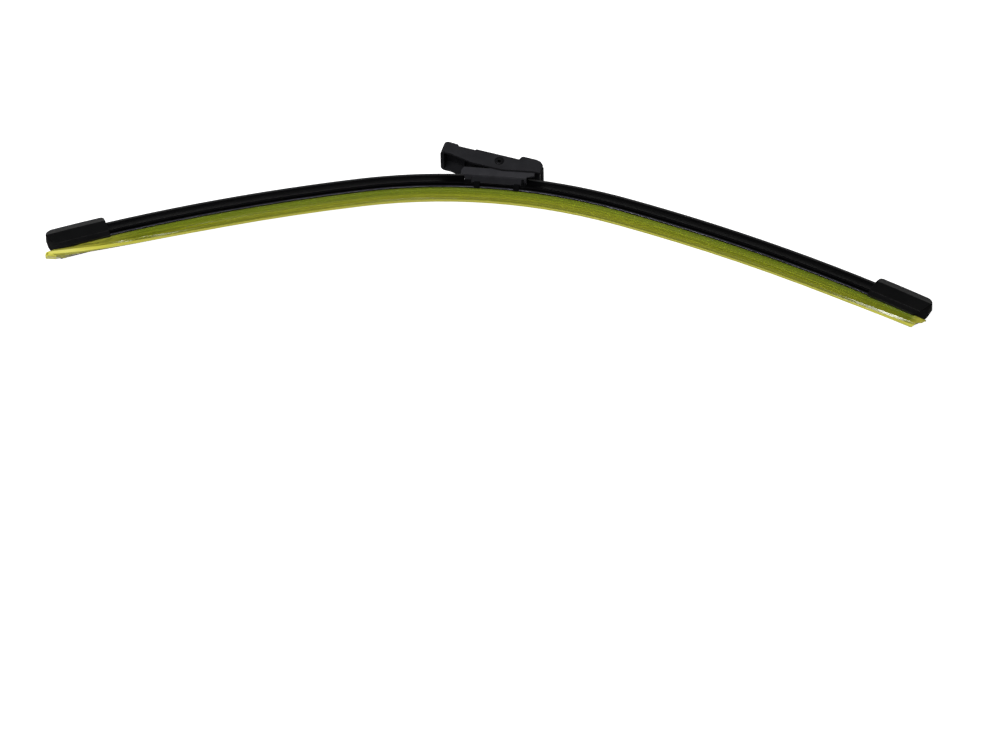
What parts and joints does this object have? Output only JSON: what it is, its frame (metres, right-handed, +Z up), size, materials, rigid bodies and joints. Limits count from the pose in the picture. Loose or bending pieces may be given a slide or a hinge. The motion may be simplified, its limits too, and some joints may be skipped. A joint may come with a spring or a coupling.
{
  "type": "wiper blade",
  "caption": "Flat sprung wiper blade with a split spoiler, closed end caps, a swivelling arm adapter on a hollow rivet and a clip-on translucent sheath over the wiping edge.",
  "frame": {"origin": "centre of the rivet that the arm adapter turns on", "axes": "+X along the blade towards its longer arm, +Y from the wiping edge towards the wiper arm, +Z along the rivet; the blade lies on its side, so +Z is up"},
  "size_m": [0.5783, 0.1209, 0.0196],
  "materials": {
    "spoiler_rubber": "satin black extruded rubber",
    "cap_plastic": "satin black moulded plastic",
    "spring_steel": "bare spring steel",
    "wiping_rubber": "matt black rubber",
    "saddle_plastic": "dark grey moulded plastic",
    "bracket_metal": "mid grey coated sheet",
    "rivet_steel": "dull plated steel",
    "adapter_plastic": "dark grey moulded plastic",
    "latch_plastic": "dark grey moulded plastic",
    "sheath_plastic": "translucent yellow soft plastic"
  },
  "bodies": {
    "blade": {"spoiler_left": "spoiler_rubber", "spoiler_right": "spoiler_rubber", "rail_near": "spring_steel", "rail_far": "spring_steel", "wiping_rubber": "wiping_rubber", "end_cap_left": "cap_plastic", "end_cap_right": "cap_plastic", "saddle": "saddle_plastic", "bracket": "bracket_metal", "pivot_rivet": "rivet_steel", "edge_sheath": "sheath_plastic"},
    "adapter": {"adapter_body": "adapter_plastic"},
    "latch": {"release_latch": "latch_plastic"}
  },
  "joints": [
    {"name": "adapter_pivot", "type": "hinge", "parent": "blade", "child": "adapter", "pos_m": [0, 0, 0], "axis": [0, 0, 1], "range_deg": [0, 15]},
    {"name": "latch_hinge", "type": "hinge", "parent": "adapter", "child": "latch", "pos_m": [0.01283, 0.00086, 0], "axis": [0, 0, 1], "range_deg": [-5, 0], "stiffness_Nm_per_rad": 0.03, "springref_deg": 8.59}
  ]
}
